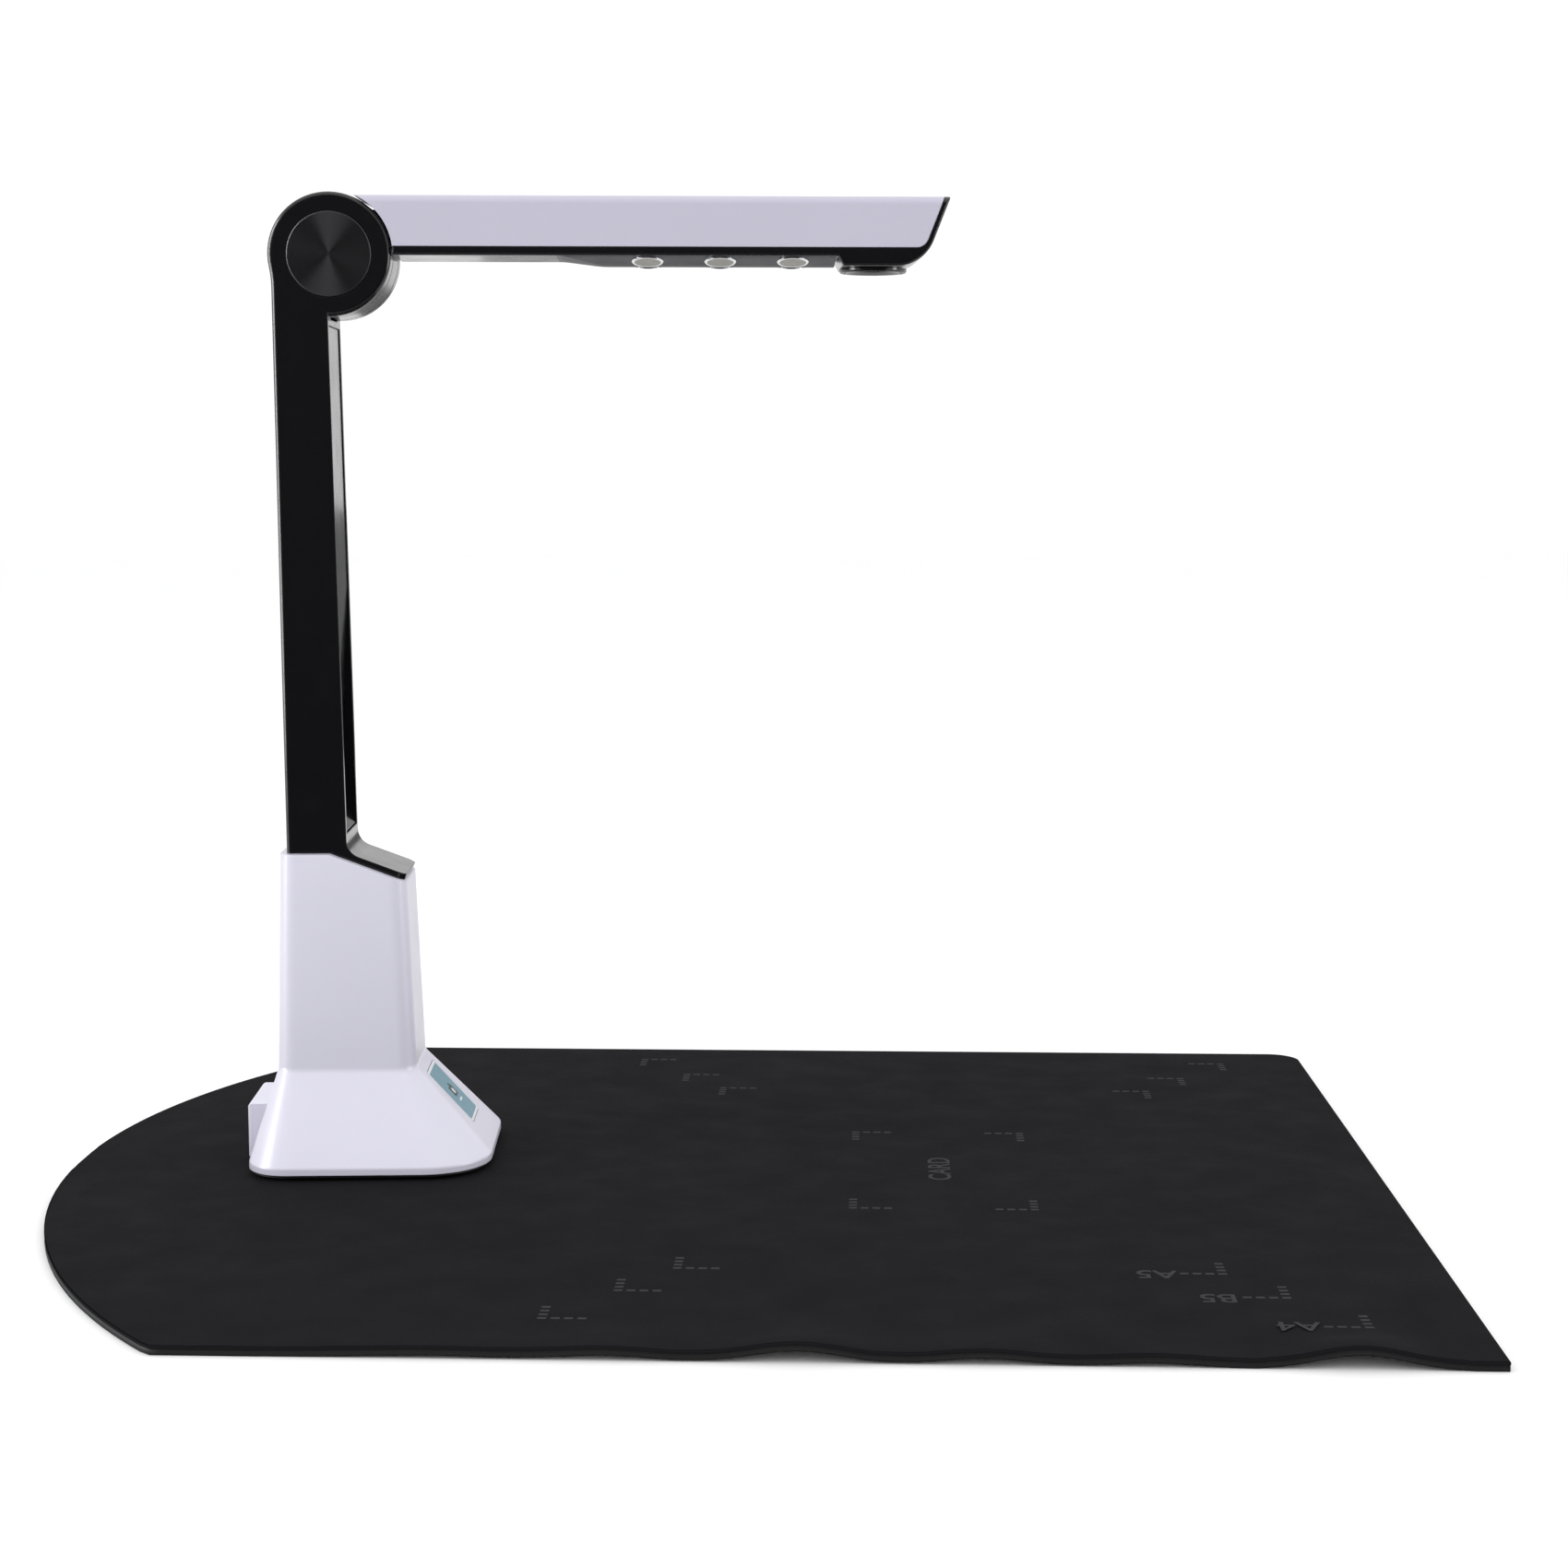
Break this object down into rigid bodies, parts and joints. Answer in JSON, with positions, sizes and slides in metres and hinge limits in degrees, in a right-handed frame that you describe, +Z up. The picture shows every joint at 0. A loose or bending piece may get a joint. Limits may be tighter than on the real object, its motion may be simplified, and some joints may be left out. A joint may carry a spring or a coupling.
{
  "type": "document camera",
  "caption": "Folding overhead document camera: weighted stand, hinged arm with down-facing lens and lamps, on a printed positioning mat.",
  "frame": {"origin": "on the table, straight below the hinge axis, in the middle of the stand", "axes": "+X from the stand towards the lens along the raised arm, +Z up, +Y to the far side of the mat"},
  "size_m": [0.4097, 0.3599, 0.2976],
  "materials": {
    "mat_fabric": "matte",
    "white_body": "satin",
    "black_body": "gloss",
    "grey_panel": "satin",
    "black_inner": "matte",
    "rubber": "matte",
    "screw_steel": "brushed",
    "frame_steel": "brushed",
    "ballast_iron": "cast",
    "circuit_board": "satin",
    "chip_black": "matte",
    "socket_metal": "plated",
    "touch_film": "satin",
    "cap_metal": "spun, black anodised",
    "lamp_chrome": "plated",
    "lamp_cream": "satin",
    "clear_cover": "clear",
    "lens_glass": "coated",
    "cable_jacket": "matte"
  },
  "bodies": {
    "stand": {"positioning_mat": "mat_fabric", "base_shell": "white_body", "base_plate": "black_inner", "rubber_feet": "rubber", "base_screws": "screw_steel", "ballast_weight": "ballast_iron", "arm_bracket": "frame_steel", "bracket_screws": "screw_steel", "clamp_screws": "screw_steel", "hub_board": "circuit_board", "board_screws": "screw_steel", "usb_socket": "socket_metal", "touch_label": "touch_film", "touch_board": "circuit_board", "lower_arm_shell": "black_body", "lower_arm_front_cover": "black_body", "arm_spine": "frame_steel", "spine_screws": "screw_steel", "lower_arm_cable": "cable_jacket", "hinge_axle": "frame_steel", "hinge_nut": "screw_steel", "friction_washers": "frame_steel", "hinge_cap_near": "cap_metal", "hinge_cap_far": "cap_metal"},
    "upper_arm": {"hinge_knuckle": "black_inner", "knuckle_screws": "screw_steel", "top_cover": "white_body", "under_shell": "black_body", "upper_arm_cable": "cable_jacket", "light_panel": "grey_panel", "light_boards": "circuit_board", "light_emitters": "lamp_cream", "light_reflectors": "lamp_chrome", "light_windows": "clear_cover", "lens_ring": "black_body", "lens_window": "lens_glass", "lens_barrel": "black_inner", "lens_elements": "lens_glass", "lens_holder": "black_inner", "camera_board": "circuit_board", "image_sensor": "chip_black", "holder_screws": "screw_steel"}
  },
  "joints": [
    {"name": "fold_hinge", "type": "hinge", "parent": "stand", "child": "upper_arm", "pos_m": [0, 0, 0.2792], "axis": [0, -1, 0], "range_deg": [-88, 90]}
  ]
}
